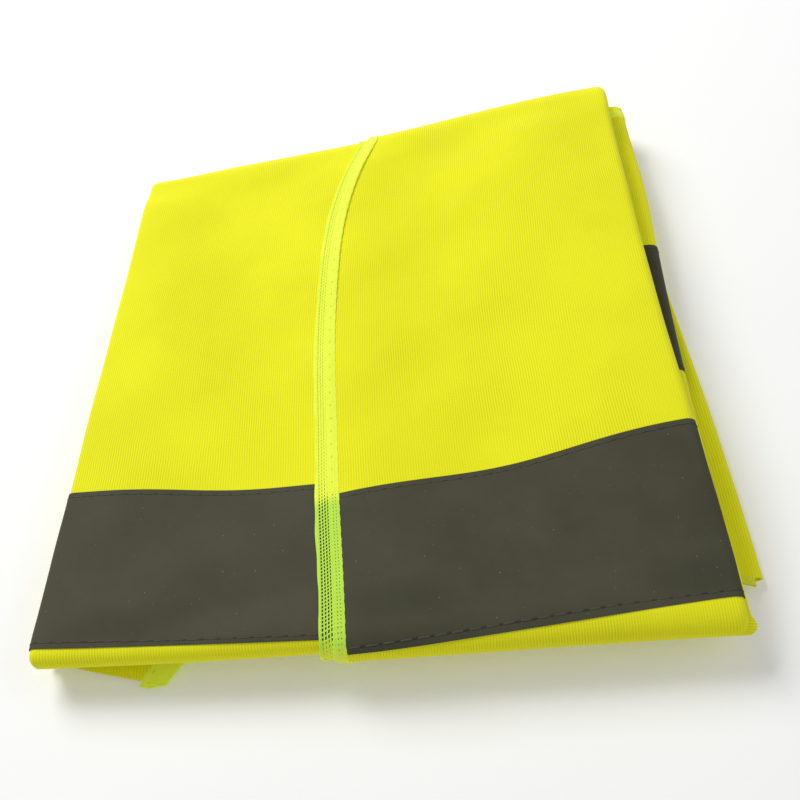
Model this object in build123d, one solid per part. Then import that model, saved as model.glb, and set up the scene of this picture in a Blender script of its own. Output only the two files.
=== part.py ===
"""High visibility vest, folded in thirds across and then along, lying front side up.

The vest is a sleeveless V-neck in three pieces of knitted fabric, with two reflective
bands round the body, a knitted binding on every cut edge and a hook-and-loop closure.

How it is folded. The two sides turn under the back, so every layer of the parcel holds
seven plies. Then the hem third turns under at the near fold and the shoulder third turns
under at the far fold, outside the hem third. From the table up, the layers are:
"shoulder", "hem" and "chest". The plies fan out from a line far to the left, because the
parcel is thicker at its right edge. Each ply lies in its own plane of that fan.

Frame: millimetres, +Z up, +Y away from the near fold, +X to the right. The origin is at
the bottom centre of the whole parcel.
"""

from build123d import *
import math
import os
from dataclasses import dataclass

# Fabric and trim thicknesses
FABRIC = 0.40
TAPE = 0.18
THREAD = 0.08
LABEL = 0.12
CLOSURE = 0.36

# The parcel
LENGTH = 190.0  # flat run between the two cross folds
EDGE = 94.5  # half of the flat run between the two side folds
PITCH_LEFT = 0.66  # ply spacing at the left side fold
PITCH_RIGHT = 1.20  # ply spacing at the right side fold
HEM_Y = 190.0  # where the hem ends, in the hem layer
SEAM_X = 82.0  # where each side seam ends up, past the middle of the parcel

# The cut of the vest, in the same numbers as the parcel it folds into
BINDING_WIDTH = 7.5
FRONT_EDGE_X = 17.0  # how far each front reaches past the middle
NECK_START_Y = 135.0  # where the front edge begins to curve into the V neck
NECK_RADIUS = 140.0
NECK_HALF_WIDTH = 63.0
NECK_Y = -10.0  # the neck points, at the free end of the shoulder layer
BACK_NECK_Y = 24.0  # the lowest point of the back neckline
SHOULDER_SLOPE = 0.32
ARMHOLE_X = 36.0  # the armhole at the far fold
ARMHOLE_TIP_X = 20.0  # the armhole at the shoulder
ARMHOLE_RADIUS = 36.0

# The reflective bands
BAND_WIDTH = 50.0
UPPER_BAND_Y = 2.0  # its lower edge, from the near fold, in the chest layer
LOWER_BAND_Y = 71.0  # its upper edge, from the near fold, in the hem layer
THREAD_WIDTH = 0.6
THREAD_INSET = 2.5

# The closure and the labels
CLOSURE_WIDTH = 18.0
CLOSURE_LENGTH = 40.0
CHEST_CLOSURE_Y = 62.0  # lower end, in the chest layer
WAIST_CLOSURE_Y = 26.0  # upper end, in the hem layer
SEAM_WIDTH = 2.5
LABEL_WIDTH, LABEL_LENGTH = 30.0, 45.0
SIZE_TAG_WIDTH, SIZE_TAG_LENGTH = 14.0, 12.0

# The fan of planes. A ply's place is counted in pitches from the lowest ply.
ANGLE = (PITCH_RIGHT - PITCH_LEFT) / (2 * EDGE)
APEX_X = -EDGE - PITCH_LEFT / ANGLE
APEX_Z = FABRIC / 2
HEM_LAYER = 8.0  # the hem layer's outermost ply
TOP = 22.0  # the chest layer's outermost ply
FAR_AXIS = TOP / 2  # the plane that holds the far fold's axis
NEAR_AXIS = (HEM_LAYER + TOP) / 2

OUT_FOLDER = "parts"


@dataclass(frozen=True)
class Run:
    """One flat ply: its place in a layer, which way it lies and its fabric's outer face."""

    place: float  # pitches from the layer's outermost ply
    way: int  # 0 for the middle third, 1 for the right side third, -1 for the left
    out: int  # 1 where the fabric's outer face is towards the layer's outermost ply


LEFT_FRONT = (Run(0.0, 0, 1), Run(4.4, 1, -1))
RIGHT_FRONT = (Run(1.3, 0, 1), Run(6.5, -1, -1))
BACK = (Run(2.3, 0, -1), Run(3.6, 1, 1), Run(5.7, -1, 1))


# ---------------------------------------------------------------- the fan and its folds


def side_plies(way):
    """The front's and the back's side third on one side."""
    return [run for runs in (LEFT_FRONT, RIGHT_FRONT, BACK) for run in runs if run.way == way]


def place(run, layer):
    """Where a run lies, in pitches from the lowest ply."""
    start = {"shoulder": 0.0, "hem": HEM_LAYER, "chest": TOP}[layer]
    return start - run.place if layer == "chest" else start + run.place


def outward(run, layer):
    """1 where the fabric's outer face looks up, -1 where it looks down."""
    return run.out if layer == "chest" else -run.out


def ply_plane(pitches):
    """The plane of a ply. Its own x and y are the parcel's X and Y, and x is 0 mid-parcel."""
    turn = pitches * ANGLE
    across = Vector(math.cos(turn), 0, math.sin(turn))
    up = Vector(-math.sin(turn), 0, math.cos(turn))
    return Plane(Vector(APEX_X, 0, APEX_Z) - across * APEX_X, x_dir=across, z_dir=up)


def flat(outline, pitches, low=-FABRIC / 2, high=FABRIC / 2):
    """A flat piece with this outline in a ply's plane, from low to high across it."""
    lifted = ply_plane(pitches).offset(low) * outline
    return extrude(lifted, amount=high - low, dir=ply_plane(pitches).z_dir)


def on_face(side, thickness, below=0.0):
    """(low, high) of a thing on one face of a ply: side 1 on top and -1 underneath."""
    near = FABRIC / 2 + below
    low, high = sorted((side * near, side * (near + thickness)))
    return low, high


def turn_section(first, second, way, low, high, y):
    """The section, at y, of a ply that turns over a side fold from one plane to another.

    low and high count outwards from the ply's middle surface, away from the fold's inside.
    """
    bottom, top = sorted((first, second))
    half = (top - bottom) / 2 * ANGLE
    reach = way * EDGE - APEX_X
    middle = (bottom + top) / 2 * ANGLE
    centre = Vector(math.cos(middle), 0, math.sin(middle)) * (reach / math.cos(half))
    centre += Vector(APEX_X, y, APEX_Z)
    radius = reach * math.tan(half)
    start, end = math.pi / 2 + top * ANGLE, -math.pi / 2 + bottom * ANGLE
    if way < 0:
        end += 2 * math.pi

    def point(size, angle):
        return centre + Vector(math.cos(angle), 0, math.sin(angle)) * size

    arcs = []
    for size in (radius + high, radius + low):
        arcs.append([point(size, a) for a in (start, (start + end) / 2, end)])
    outer, inner = arcs
    outline = Curve() + [
        ThreePointArc(*outer),
        Line(outer[2], inner[2]),
        ThreePointArc(*reversed(inner)),
        Line(inner[0], outer[0]),
    ]
    return make_face(outline)


def side_turn(first, second, way, y0, y1, low=-FABRIC / 2, high=FABRIC / 2):
    """A ply's turn over a side fold, from y0 to y1."""
    section = turn_section(first, second, way, low, high, y0)
    return extrude(section, amount=y1 - y0, dir=(0, 1, 0))


def flat_section(pitches, x0, x1, y, low=-FABRIC / 2, high=FABRIC / 2):
    """The section, at y, of a flat ply from x0 to x1."""
    plane = ply_plane(pitches)
    corners = [(x0, low), (x1, low), (x1, high), (x0, high)]
    return make_face(Polyline(*[plane.from_local_coords((x, y, n)) for x, n in corners], close=True))


def cross_turn(section, y):
    """Half a turn of a section of the chest layer about a cross fold: far or near."""
    pitches = FAR_AXIS if y > 0 else NEAR_AXIS
    across = ply_plane(pitches).x_dir
    axis = Axis(ply_plane(pitches).origin + Vector(0, y, 0), -across if y > 0 else across)
    return revolve(section, axis, 180)


def joined(pieces):
    """One solid from pieces that meet face to face."""
    whole = pieces[0]
    for piece in pieces[1:]:
        whole = whole + piece
    return whole


# ------------------------------------------------------------------------- the outlines


def polygon(*points):
    """A flat outline with straight sides."""
    return make_face(Polyline(*points, close=True))


def mirror_to(outline, way):
    """The outline as drawn for the right (1), or its mirror image for the left (-1)."""
    return outline if way > 0 else mirror(outline, about=Plane.YZ)


def shoulder_y(across):
    """The shoulder line, at a distance from the vest's middle."""
    return NECK_Y + SHOULDER_SLOPE * (across - NECK_HALF_WIDTH)


def neck_x(inset):
    """Where the front edge reaches the far fold, for the left front."""
    radius = NECK_RADIUS - inset
    rise = LENGTH - NECK_START_Y
    return NECK_RADIUS - FRONT_EDGE_X - math.sqrt(radius**2 - rise**2)


def neck_arc(inset):
    """The curved stretch of the front edge, from its straight stretch to the far fold."""
    radius = NECK_RADIUS - inset
    centre = Vector(NECK_RADIUS - FRONT_EDGE_X, NECK_START_Y)
    half = math.asin((LENGTH - NECK_START_Y) / radius) / 2
    middle = centre + Vector(-math.cos(half), math.sin(half)) * radius
    return ThreePointArc(centre - Vector(radius, 0), middle, (neck_x(inset), LENGTH))


def armhole_arc(inset):
    """The foot of the armhole, from the far fold down to its level stretch."""
    radius = ARMHOLE_RADIUS + inset
    centre = Vector(-ARMHOLE_X - ARMHOLE_RADIUS, LENGTH)
    middle = centre + Vector(math.cos(math.pi / 4), -math.sin(math.pi / 4)) * radius
    return ThreePointArc(centre + Vector(radius, 0), middle, centre - Vector(0, radius))


def front_middle(layer):
    """The middle third of the left front, inside its binding."""
    inner = BINDING_WIDTH - FRONT_EDGE_X
    if layer == "hem":
        return polygon((inner, 0), (EDGE, 0), (EDGE, HEM_Y - BINDING_WIDTH), (inner, HEM_Y - BINDING_WIDTH))
    if layer == "shoulder":
        neck = NECK_HALF_WIDTH + BINDING_WIDTH
        start = neck_x(BINDING_WIDTH)
        return polygon((start, LENGTH), (EDGE, LENGTH), (EDGE, shoulder_y(EDGE)), (neck, shoulder_y(neck)))
    arc = neck_arc(BINDING_WIDTH)
    rest = Polyline(arc @ 1, (EDGE, LENGTH), (EDGE, 0), (inner, 0), arc @ 0)
    return make_face(Curve() + [arc, rest])


def side_third(layer):
    """The right side third of a front or of the back, inside its binding."""
    if layer == "hem":
        top = HEM_Y - BINDING_WIDTH
        return polygon((EDGE, 0), (EDGE, top), (-SEAM_X, top), (-SEAM_X, 0))
    if layer == "shoulder":
        tip = BINDING_WIDTH - ARMHOLE_TIP_X
        fold = BINDING_WIDTH - ARMHOLE_X
        return polygon(
            (EDGE, LENGTH), (EDGE, shoulder_y(EDGE)), (tip, shoulder_y(2 * EDGE - tip)), (fold, LENGTH)
        )
    arc = armhole_arc(BINDING_WIDTH)
    level = LENGTH - ARMHOLE_RADIUS - BINDING_WIDTH
    rest = Polyline(arc @ 1, (-SEAM_X, level), (-SEAM_X, 0), (EDGE, 0), (EDGE, LENGTH), arc @ 0)
    return make_face(Curve() + [arc, rest])


def back_middle(layer):
    """The middle third of the back, inside its binding."""
    if layer != "shoulder":
        top = LENGTH if layer == "chest" else HEM_Y - BINDING_WIDTH
        return polygon((-EDGE, 0), (EDGE, 0), (EDGE, top), (-EDGE, top))
    neck = NECK_HALF_WIDTH + BINDING_WIDTH
    arc = ThreePointArc((neck, shoulder_y(neck)), (0, BACK_NECK_Y + BINDING_WIDTH), (-neck, shoulder_y(neck)))
    low = shoulder_y(EDGE)
    rest = Polyline(arc @ 1, (-EDGE, low), (-EDGE, LENGTH), (EDGE, LENGTH), (EDGE, low), arc @ 0)
    return make_face(Curve() + [arc, rest])


def edge_strip(layer):
    """The binding on the left front's edge and neckline."""
    outer, inner = -FRONT_EDGE_X, BINDING_WIDTH - FRONT_EDGE_X
    if layer == "hem":
        return polygon((outer, 0), (inner, 0), (inner, HEM_Y), (outer, HEM_Y))
    if layer == "shoulder":
        neck = NECK_HALF_WIDTH + BINDING_WIDTH
        tips = (neck, shoulder_y(neck)), (NECK_HALF_WIDTH, NECK_Y)
        return polygon((neck_x(0), LENGTH), (neck_x(BINDING_WIDTH), LENGTH), *tips)
    first, second = neck_arc(0), neck_arc(BINDING_WIDTH)
    foot = Polyline(first @ 0, (outer, 0), (inner, 0), second @ 0)
    return make_face(Curve() + [first, foot, second, Line(second @ 1, first @ 1)])


def armhole_strip(layer):
    """The binding on one ply of the right armhole."""
    if layer == "shoulder":
        tip, fold = -ARMHOLE_TIP_X, -ARMHOLE_X
        ends = (tip, shoulder_y(2 * EDGE - tip)), (fold, LENGTH)
        inset = tip + BINDING_WIDTH
        return polygon(
            (fold + BINDING_WIDTH, LENGTH), (inset, shoulder_y(2 * EDGE - inset)), *ends
        )
    first, second = armhole_arc(0), armhole_arc(BINDING_WIDTH)
    level = LENGTH - ARMHOLE_RADIUS
    foot = Polyline(first @ 1, (-SEAM_X, level), (-SEAM_X, level - BINDING_WIDTH), second @ 1)
    return make_face(Curve() + [first, foot, second, Line(second @ 0, first @ 0)])


# --------------------------------------------------------------------- the fabric panels


def panel_body(runs, middle):
    """A panel's chest and hem layers with the near fold between them, as one solid."""
    pieces = []
    for layer in ("chest", "hem"):
        for run in runs:
            outline = mirror_to(side_third(layer), run.way) if run.way else middle(layer)
            pieces.append(flat(outline, place(run, layer)))
        top = LENGTH if layer == "chest" else HEM_Y - BINDING_WIDTH
        pieces += [side_turn(place(runs[0], layer), place(r, layer), r.way, 0, top) for r in runs[1:]]
    pieces += near_fold(runs)
    return joined(pieces)


def middle_reach(runs):
    """(lowest, highest) X of a panel's middle third at the near fold."""
    inner = BINDING_WIDTH - FRONT_EDGE_X
    reach = {LEFT_FRONT: (inner, EDGE), RIGHT_FRONT: (-EDGE, -inner), BACK: (-EDGE, EDGE)}
    return reach[runs]


def near_fold(runs):
    """A panel's turn over the near fold."""
    sections = []
    for run in runs:
        x0, x1 = (-SEAM_X, EDGE) if run.way else middle_reach(runs)
        if run.way < 0:
            x0, x1 = -x1, -x0
        sections.append(flat_section(place(run, "chest"), x0, x1, 0))
    for run in runs[1:]:
        first, second = place(runs[0], "chest"), place(run, "chest")
        sections.append(turn_section(first, second, run.way, -FABRIC / 2, FABRIC / 2, 0))
    return [cross_turn(section, 0) for section in sections]


def far_fold(runs):
    """A panel's turn over the far fold, from the chest layer to the shoulder layer."""
    arm = BINDING_WIDTH - ARMHOLE_X
    neck = neck_x(BINDING_WIDTH)
    middles = {LEFT_FRONT: (neck, EDGE), RIGHT_FRONT: (-EDGE, -neck), BACK: (-EDGE, EDGE)}
    sections = []
    for run in runs:
        x0, x1 = (arm, EDGE) if run.way else middles[runs]
        if run.way < 0:
            x0, x1 = -x1, -x0
        sections.append(flat_section(place(run, "chest"), x0, x1, LENGTH))
    for run in runs[1:]:
        first, second = place(runs[0], "chest"), place(run, "chest")
        sections.append(turn_section(first, second, run.way, -FABRIC / 2, FABRIC / 2, LENGTH))
    return joined([cross_turn(section, LENGTH) for section in sections])


def panel_shoulder(runs, middle):
    """A panel's shoulder layer, from the far fold to the shoulder seams."""
    pieces = []
    for run in runs:
        outline = mirror_to(side_third("shoulder"), run.way) if run.way else middle("shoulder")
        pieces.append(flat(outline, place(run, "shoulder")))
    for run in runs[1:]:
        first, second = place(runs[0], "shoulder"), place(run, "shoulder")
        pieces.append(side_turn(first, second, run.way, shoulder_y(EDGE), LENGTH))
    return joined(pieces)


def right_front_middle(layer):
    """The middle third of the right front, the mirror image of the left front's."""
    return mirror_to(front_middle(layer), -1)


# --------------------------------------------------------------------- bands and threads


def band_reach(runs):
    """(layer run, lowest X, highest X) for each flat stretch of a band."""
    inner = BINDING_WIDTH - FRONT_EDGE_X
    spans = {LEFT_FRONT: (inner, EDGE), RIGHT_FRONT: (-EDGE, -inner), BACK: (-EDGE, EDGE)}
    for run in runs:
        low, high = (-SEAM_X, EDGE) if run.way else spans[runs]
        yield (run, -high, -low) if run.way < 0 else (run, low, high)


def band(runs, layer, y0):
    """A reflective tape on a panel's outer face, round its side folds to the side seams."""
    y1 = y0 + BAND_WIDTH
    pieces = []
    for run, x0, x1 in band_reach(runs):
        outline = polygon((x0, y0), (x1, y0), (x1, y1), (x0, y1))
        pieces.append(flat(outline, place(run, layer), *on_face(outward(run, layer), TAPE)))
    faces_out = runs[0].out > 0
    low, high = on_face(1 if faces_out else -1, TAPE)
    for run in runs[1:]:
        first, second = place(runs[0], layer), place(run, layer)
        pieces.append(side_turn(first, second, run.way, y0, y1, low, high))
    return joined(pieces)


def band_threads(runs, layer, y0):
    """The two rows of stitching that hold a tape, along its middle third."""
    run, x0, x1 = next(band_reach(runs))
    rows = []
    for y in (y0 + THREAD_INSET, y0 + BAND_WIDTH - THREAD_INSET - THREAD_WIDTH):
        outline = polygon((x0, y), (x1, y), (x1, y + THREAD_WIDTH), (x0, y + THREAD_WIDTH))
        rows.append(flat(outline, place(run, layer), *on_face(outward(run, layer), THREAD, TAPE)))
    return Compound(rows)


# -------------------------------------------------------------------------- the bindings


def front_binding(way):
    """{part: shape} of the binding on one front's edge, for the body, fold and shoulder."""
    runs = LEFT_FRONT if way > 0 else RIGHT_FRONT
    strips = {layer: flat(mirror_to(edge_strip(layer), way), place(runs[0], layer))
              for layer in ("chest", "hem", "shoulder")}
    outer, inner = sorted((-way * FRONT_EDGE_X, way * (BINDING_WIDTH - FRONT_EDGE_X)))
    near = cross_turn(flat_section(place(runs[0], "chest"), outer, inner, 0), 0)
    x0, x1 = sorted((way * neck_x(0), way * neck_x(BINDING_WIDTH)))
    far = cross_turn(flat_section(place(runs[0], "chest"), x0, x1, LENGTH), LENGTH)
    return {"body": joined([strips["chest"], near, strips["hem"]]), "far_fold": far,
            "shoulder": strips["shoulder"]}


def armhole_binding(way):
    """{part: shape} of one armhole's binding, on the front ply and on the back ply."""
    parts = {"body": [], "far_fold": [], "shoulder": []}
    x0, x1 = sorted((-way * ARMHOLE_X, way * (BINDING_WIDTH - ARMHOLE_X)))
    for run in side_plies(way):
        parts["body"].append(flat(mirror_to(armhole_strip("chest"), way), place(run, "chest")))
        parts["far_fold"].append(cross_turn(flat_section(place(run, "chest"), x0, x1, LENGTH), LENGTH))
        parts["shoulder"].append(flat(mirror_to(armhole_strip("shoulder"), way), place(run, "shoulder")))
    return {part: Compound(solids) for part, solids in parts.items()}


def back_neck_binding():
    """The binding on the back neckline, between the two neck points."""
    wide = NECK_HALF_WIDTH + BINDING_WIDTH
    outer = ThreePointArc((NECK_HALF_WIDTH, NECK_Y), (0, BACK_NECK_Y), (-NECK_HALF_WIDTH, NECK_Y))
    inner = ThreePointArc((-wide, shoulder_y(wide)), (0, BACK_NECK_Y + BINDING_WIDTH), (wide, shoulder_y(wide)))
    ends = [Line(outer @ 1, inner @ 0), Line(inner @ 1, outer @ 0)]
    return flat(make_face(Curve() + [outer, ends[0], inner, ends[1]]), place(BACK[0], "shoulder"))


def hem_binding(runs):
    """The binding on a panel's hem, round its side folds."""
    y0, y1 = HEM_Y - BINDING_WIDTH, HEM_Y
    pieces = []
    for run, x0, x1 in band_reach(runs):
        outline = polygon((x0, y0), (x1, y0), (x1, y1), (x0, y1))
        pieces.append(flat(outline, place(run, "hem")))
    for run in runs[1:]:
        pieces.append(side_turn(place(runs[0], "hem"), place(run, "hem"), run.way, y0, y1))
    return joined(pieces)


# --------------------------------------------------------------- seams, closure and labels


def seam_section(low, high, way, y):
    """The section of a seam that spans from one ply's outer face to another's."""
    half = FABRIC / 2
    sewn, free = -way * SEAM_X, -way * (SEAM_X + SEAM_WIDTH)
    corners = [(low, free, -half), (low, sewn, -half), (low, sewn, half)]
    corners += [(high, sewn, -half), (high, sewn, half), (high, free, half)]
    points = [ply_plane(ply).from_local_coords((x, y, n)) for ply, x, n in corners]
    return make_face(Polyline(*points, close=True))


def side_seam(way):
    """The overlocked side seam: a band of thread on the ends of the front and back plies."""
    pieces = []
    for layer, y1 in (("chest", LENGTH - ARMHOLE_RADIUS), ("hem", HEM_Y)):
        low, high = sorted(place(run, layer) for run in side_plies(way))
        pieces.append(extrude(seam_section(low, high, way, 0), amount=y1, dir=(0, 1, 0)))
        if layer == "chest":
            pieces.append(cross_turn(seam_section(low, high, way, 0), 0))
    return joined(pieces)


def shoulder_seam(way):
    """The shoulder seam on the two side plies, along the sloping shoulder line."""
    pieces = []
    for run in side_plies(way):
        tip = -ARMHOLE_TIP_X
        y_fold, y_tip = shoulder_y(EDGE), shoulder_y(2 * EDGE - tip)
        outline = polygon((EDGE, y_fold), (tip, y_tip), (tip, y_tip - SEAM_WIDTH), (EDGE, y_fold - SEAM_WIDTH))
        pieces.append(flat(mirror_to(outline, way), place(run, "shoulder")))
    return Compound(pieces)


def rectangle(x, y, width, length):
    """A flat rectangle centred on x that starts at y."""
    half = width / 2
    return polygon((x - half, y), (x + half, y), (x + half, y + length), (x - half, y + length))


def closure(run, layer, y):
    """One patch of the hook-and-loop closure, on the face that looks at the other front."""
    side = outward(run, layer) if run is RIGHT_FRONT[0] else -outward(run, layer)
    outline = rectangle(0, y, CLOSURE_WIDTH, CLOSURE_LENGTH)
    return flat(outline, place(run, layer), *on_face(side, CLOSURE))


def neck_label(x, y, width, length, below=0.0):
    """A woven label on the inner face of the back, under the neckline."""
    outline = rectangle(x, y, width, length)
    run = BACK[0]
    return flat(outline, place(run, "shoulder"), *on_face(-outward(run, "shoulder"), LABEL, below))


# ---------------------------------------------------------------------------- the parcel


def build_nodes():
    """{node name: shape}, before the origin is moved to the parcel's bottom centre."""
    nodes = {}
    panels = {
        "left_front": (LEFT_FRONT, front_middle),
        "right_front": (RIGHT_FRONT, right_front_middle),
        "back": (BACK, back_middle),
    }
    for name, (runs, middle) in panels.items():
        nodes[f"{name}_panel_body"] = panel_body(runs, middle)
        nodes[f"{name}_panel_far_fold"] = far_fold(runs)
        nodes[f"{name}_panel_shoulder"] = panel_shoulder(runs, middle)
        nodes[f"{name}_upper_tape"] = band(runs, "chest", UPPER_BAND_Y)
        nodes[f"{name}_lower_tape"] = band(runs, "hem", LOWER_BAND_Y)
        nodes[f"{name}_upper_tape_stitching"] = band_threads(runs, "chest", UPPER_BAND_Y)
        nodes[f"{name}_lower_tape_stitching"] = band_threads(runs, "hem", LOWER_BAND_Y)
        nodes[f"{name}_hem_binding"] = hem_binding(runs)
    for way, side in ((1, "left"), (-1, "right")):
        for part, shape in front_binding(way).items():
            nodes[f"{side}_front_edge_binding_{part}"] = shape
        for part, shape in armhole_binding(way).items():
            nodes[f"{side}_armhole_binding_{part}"] = shape
        nodes[f"{side}_side_seam"] = side_seam(way)
        nodes[f"{side}_shoulder_seam"] = shoulder_seam(way)
    nodes["back_neck_binding"] = back_neck_binding()
    for name, layer, y in (("chest", "chest", CHEST_CLOSURE_Y), ("waist", "hem", WAIST_CLOSURE_Y)):
        nodes[f"{name}_hook_patch"] = closure(LEFT_FRONT[0], layer, y)
        nodes[f"{name}_loop_patch"] = closure(RIGHT_FRONT[0], layer, y)
    label_y = BACK_NECK_Y + BINDING_WIDTH
    nodes["care_label"] = neck_label(0, label_y, LABEL_WIDTH, LABEL_LENGTH)
    nodes["size_tag"] = neck_label(0, label_y, SIZE_TAG_WIDTH, SIZE_TAG_LENGTH, LABEL)
    return nodes


def bottom_centre(nodes):
    """The bottom centre of all the shapes together."""
    boxes = [shape.bounding_box() for shape in nodes.values()]
    x = (min(box.min.X for box in boxes) + max(box.max.X for box in boxes)) / 2
    y = (min(box.min.Y for box in boxes) + max(box.max.Y for box in boxes)) / 2
    return Vector(x, y, min(box.min.Z for box in boxes))


def main():
    """Writes one STEP for each node. Returns the old frame's origin in the new one."""
    os.makedirs(OUT_FOLDER, exist_ok=True)
    nodes = build_nodes()
    origin = bottom_centre(nodes)
    for name, shape in nodes.items():
        export_step(Pos(-origin) * shape, os.path.join(OUT_FOLDER, f"{name}.step"))
    return -origin


if __name__ == "__main__":
    main()
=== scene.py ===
"""The folded high visibility vest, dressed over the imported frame.

Every piece of cloth is drawn flat, in the vest's own cut, and then folded by the same
planes and cross folds as the frame's solids. One smooth settling of the whole parcel gives
it the soft, slightly skewed lie of real cloth, and keeps the plies in their order.
Lengths are millimetres up to the point where a mesh is made.
"""

import math
from dataclasses import dataclass

import bpy
import numpy as np
from mathutils import Matrix, Vector


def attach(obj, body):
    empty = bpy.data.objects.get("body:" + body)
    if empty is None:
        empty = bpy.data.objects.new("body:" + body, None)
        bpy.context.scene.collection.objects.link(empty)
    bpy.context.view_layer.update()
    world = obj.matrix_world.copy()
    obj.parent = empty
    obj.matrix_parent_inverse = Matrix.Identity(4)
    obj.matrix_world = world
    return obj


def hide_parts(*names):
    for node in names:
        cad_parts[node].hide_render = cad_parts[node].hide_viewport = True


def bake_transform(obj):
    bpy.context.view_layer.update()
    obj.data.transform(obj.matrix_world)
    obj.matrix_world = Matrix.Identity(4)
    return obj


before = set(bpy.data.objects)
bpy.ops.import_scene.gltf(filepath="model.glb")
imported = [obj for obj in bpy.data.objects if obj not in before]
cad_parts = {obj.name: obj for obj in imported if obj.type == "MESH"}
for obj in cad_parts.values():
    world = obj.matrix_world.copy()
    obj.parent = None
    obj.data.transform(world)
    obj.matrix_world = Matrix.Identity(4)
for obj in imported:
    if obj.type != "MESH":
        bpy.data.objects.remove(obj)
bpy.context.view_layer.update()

MM = 0.001
ORIGIN = np.array([0.226, 96.700, 0.0])  # the row's origin, in the parcel's own numbers

# ---------------- the frame's own dimensions
FABRIC = 0.40
TAPE = 0.18
LENGTH = 190.0
EDGE = 94.5
PITCH_LEFT = 0.66
PITCH_RIGHT = 1.20
HEM_Y = 190.0
SEAM_X = 82.0
BINDING_WIDTH = 7.5
FRONT_EDGE_X = 17.0
NECK_START_Y = 135.0
NECK_RADIUS = 140.0
NECK_HALF_WIDTH = 63.0
NECK_Y = -10.0
BACK_NECK_Y = 24.0
SHOULDER_SLOPE = 0.32
ARMHOLE_X = 36.0
ARMHOLE_TIP_X = 20.0
ARMHOLE_RADIUS = 36.0
BAND_WIDTH = 50.0
UPPER_BAND_Y = 2.0
LOWER_BAND_Y = 71.0
CLOSURE_WIDTH = 18.0
CLOSURE_LENGTH = 40.0
CHEST_CLOSURE_Y = 62.0
WAIST_CLOSURE_Y = 26.0
CLOSURE = 0.36
SEAM_WIDTH = 2.5
LABEL_WIDTH, LABEL_LENGTH = 30.0, 45.0
SIZE_TAG_WIDTH, SIZE_TAG_LENGTH = 14.0, 12.0
LABEL = 0.12

ANGLE = (PITCH_RIGHT - PITCH_LEFT) / (2 * EDGE)
APEX_X = -EDGE - PITCH_LEFT / ANGLE
APEX_Z = FABRIC / 2
TOP = 22.0
FAR_AXIS = 11.0
NEAR_AXIS = 15.0

# ---------------- the cloth's own detail
RIB_PITCH = 0.8  # the knit's wales
COURSE_PITCH = 0.9
BINDING_STITCH_PITCH = 4.4
BINDING_STITCH_INSET = 5.55
CUT_EDGE = 4.3  # how far inside its binding a panel's cut edge lies
SHOULDER_REACH = 20.0  # how far past the near fold the shoulder layer's rows are counted
OVERLAP = 8.0  # how far a cross fold's piece runs on into the flat layers
FOOT_TURN = math.pi / 2 - math.asin(OVERLAP / ARMHOLE_RADIUS)  # the armhole's arc in the body
TAPE_INSET = CUT_EDGE + 0.8  # how far inside its binding a front's tape ends
CRUMPLE = 0.07  # a quarter of the height of the tape's tallest crumple
STITCH_PITCH = 4.6
STITCH_INSET = 1.6
STITCH_SIZE = (3.6, 0.42, 0.16)  # length, width and height
HOLE_SIZE = (1.9, 0.55, 0.05)  # a needle hole's
OVERLOCK_PITCH = 3.2
NEAR_REACH = 14.0  # how far into the chest layer the near fold may slip
# The open knit of the front bindings: columns of holes, wide ones near the free edge
NET_COLUMNS = 7
WIDE_NET_COLUMNS = 4
NET_FIRST = 1.25
NET_COLUMN_PITCH = 0.86
NET_ROW_PITCH = 1.15
NET_SLANT = 0.35
NET_HALF_WIDTH = {"wide": 0.24, "narrow": 0.12}  # half of a hole's width
NET_CLOSED = 0.6  # how far the holes are drawn in where the knit isn't stretched over tape
SEWN_LIFT = 0.45  # how far the left binding's sewn side stands off the cloth along the neckline
GRID = 2.4  # the cloth meshes' spacing
FINE_GRID = 1.2  # the fronts' upper tapes'
ARMHOLE_STEP = 1.5  # the rows' spacing along the armhole bindings
TURN_COLUMNS = 12  # a panel's columns round a side fold
FRONT_NARROWER = 1.7  # the back's middle third counts as this many times a front's

# The reference lengths of the two cross folds in the flat cut
FAR_ARC = 26.0
NEAR_ARC = 18.0


@dataclass(frozen=True)
class Panel:
    """One fabric panel, by the places of its three thirds in the chest layer.

    A place is counted in pitches up from the lowest ply. A third that is missing is None.
    """

    name: str
    middle: float
    right: float = None
    left: float = None

    def side(self, way):
        """The place of one side third."""
        return self.right if way > 0 else self.left


LEFT_FRONT = Panel("left_front", 22.0, right=17.6)
RIGHT_FRONT = Panel("right_front", 20.7, left=15.5)
BACK = Panel("back", 19.7, right=18.4, left=16.3)
PANELS = (LEFT_FRONT, RIGHT_FRONT, BACK)
SIDES = ((1, LEFT_FRONT, "left"), (-1, RIGHT_FRONT, "right"))  # each side's way, front and name

# How far each panel has slipped towards the hem over the near fold: at its front edge and at
# its side, for places along the chest layer
SLIP_AT = (0.0, 52.0, LENGTH - OVERLAP)
SLIP = {
    "left_front": ((8.4, 12.4, 0.0), (1.8, 4.0, 0.0)),
    "right_front": ((6.6, 9.2, 0.0), (1.5, 1.5, 0.0)),
    "back": ((0.0, 0.0, 0.0), (0.0, 0.0, 0.0)),
}
NEAR_BULGE = 0.25  # how much further the left front stands out at the near fold, at its edge


# ---------------- the folds


def smooth_step(low, high, value):
    """0 below low, 1 above high, and a smooth rise between."""
    t = np.clip((value - low) / (high - low), 0, 1)
    return t * t * (3 - 2 * t)


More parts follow.
